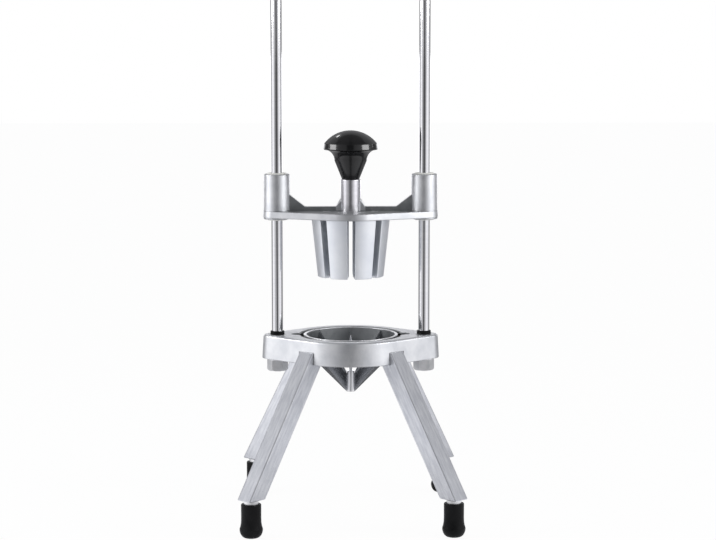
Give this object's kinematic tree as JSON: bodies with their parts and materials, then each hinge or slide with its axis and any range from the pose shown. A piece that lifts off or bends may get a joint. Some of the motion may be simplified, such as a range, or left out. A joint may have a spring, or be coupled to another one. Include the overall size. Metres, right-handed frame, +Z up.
{
  "type": "fruit wedger press",
  "caption": "Free-standing hand press: a knobbed pusher head slides down two guide rods and drives a fruit through a ring of radial blades on a cast base with four splayed legs.",
  "frame": {"origin": "on the floor, under the middle of the blade ring", "axes": "+Z up along the guide rods, +X to the right of the press seen from its front, front at -Y"},
  "size_m": [0.223, 0.223, 0.515],
  "materials": {
    "cast_aluminium": "satin cast aluminium",
    "bar_aluminium": "brushed bar with the grain along it",
    "finger_aluminium": "matt, nearly white",
    "rod_steel": "polished round steel",
    "blade_steel": "ground stainless steel",
    "fastener_steel": "bright zinc",
    "black_rubber": "matt black",
    "black_plastic": "glossy black",
    "white_nylon": "natural white",
    "brass": "turned brass"
  },
  "bodies": {
    "base": {"base_frame": "cast_aluminium", "leg_back_right": "bar_aluminium", "leg_back_left": "bar_aluminium", "leg_front_left": "bar_aluminium", "leg_front_right": "bar_aluminium", "leg_screws": "fastener_steel", "foot_back_right": "black_rubber", "foot_back_left": "black_rubber", "foot_front_left": "black_rubber", "foot_front_right": "black_rubber", "foot_studs": "fastener_steel", "guide_rod_left": "rod_steel", "guide_rod_right": "rod_steel", "rod_nuts": "fastener_steel", "rod_washers": "fastener_steel", "bumper_left": "black_rubber", "bumper_right": "black_rubber", "blade_ring": "cast_aluminium", "blade_hub": "blade_steel", "centre_pin": "blade_steel", "ring_seal": "black_rubber", "ring_screws": "fastener_steel", "blade_1": "blade_steel", "blade_2": "blade_steel", "blade_3": "blade_steel", "blade_4": "blade_steel", "blade_5": "blade_steel", "blade_6": "blade_steel", "blade_7": "blade_steel", "blade_8": "blade_steel"},
    "head": {"head_casting": "cast_aluminium", "finger_screws": "fastener_steel", "knob": "black_plastic", "knob_insert": "brass", "knob_stud": "fastener_steel", "pusher_finger_1": "finger_aluminium", "pusher_finger_2": "finger_aluminium", "pusher_finger_3": "finger_aluminium", "pusher_finger_4": "finger_aluminium", "pusher_finger_5": "finger_aluminium", "pusher_finger_6": "finger_aluminium", "pusher_finger_7": "finger_aluminium", "pusher_finger_8": "finger_aluminium", "guide_bush_left_upper": "white_nylon", "guide_bush_left_lower": "white_nylon", "guide_bush_right_upper": "white_nylon", "guide_bush_right_lower": "white_nylon"}
  },
  "joints": [
    {"name": "head_slide", "type": "slide", "parent": "base", "child": "head", "axis": [0, 0, 1], "range_m": [-0.1106, 0.17]}
  ]
}
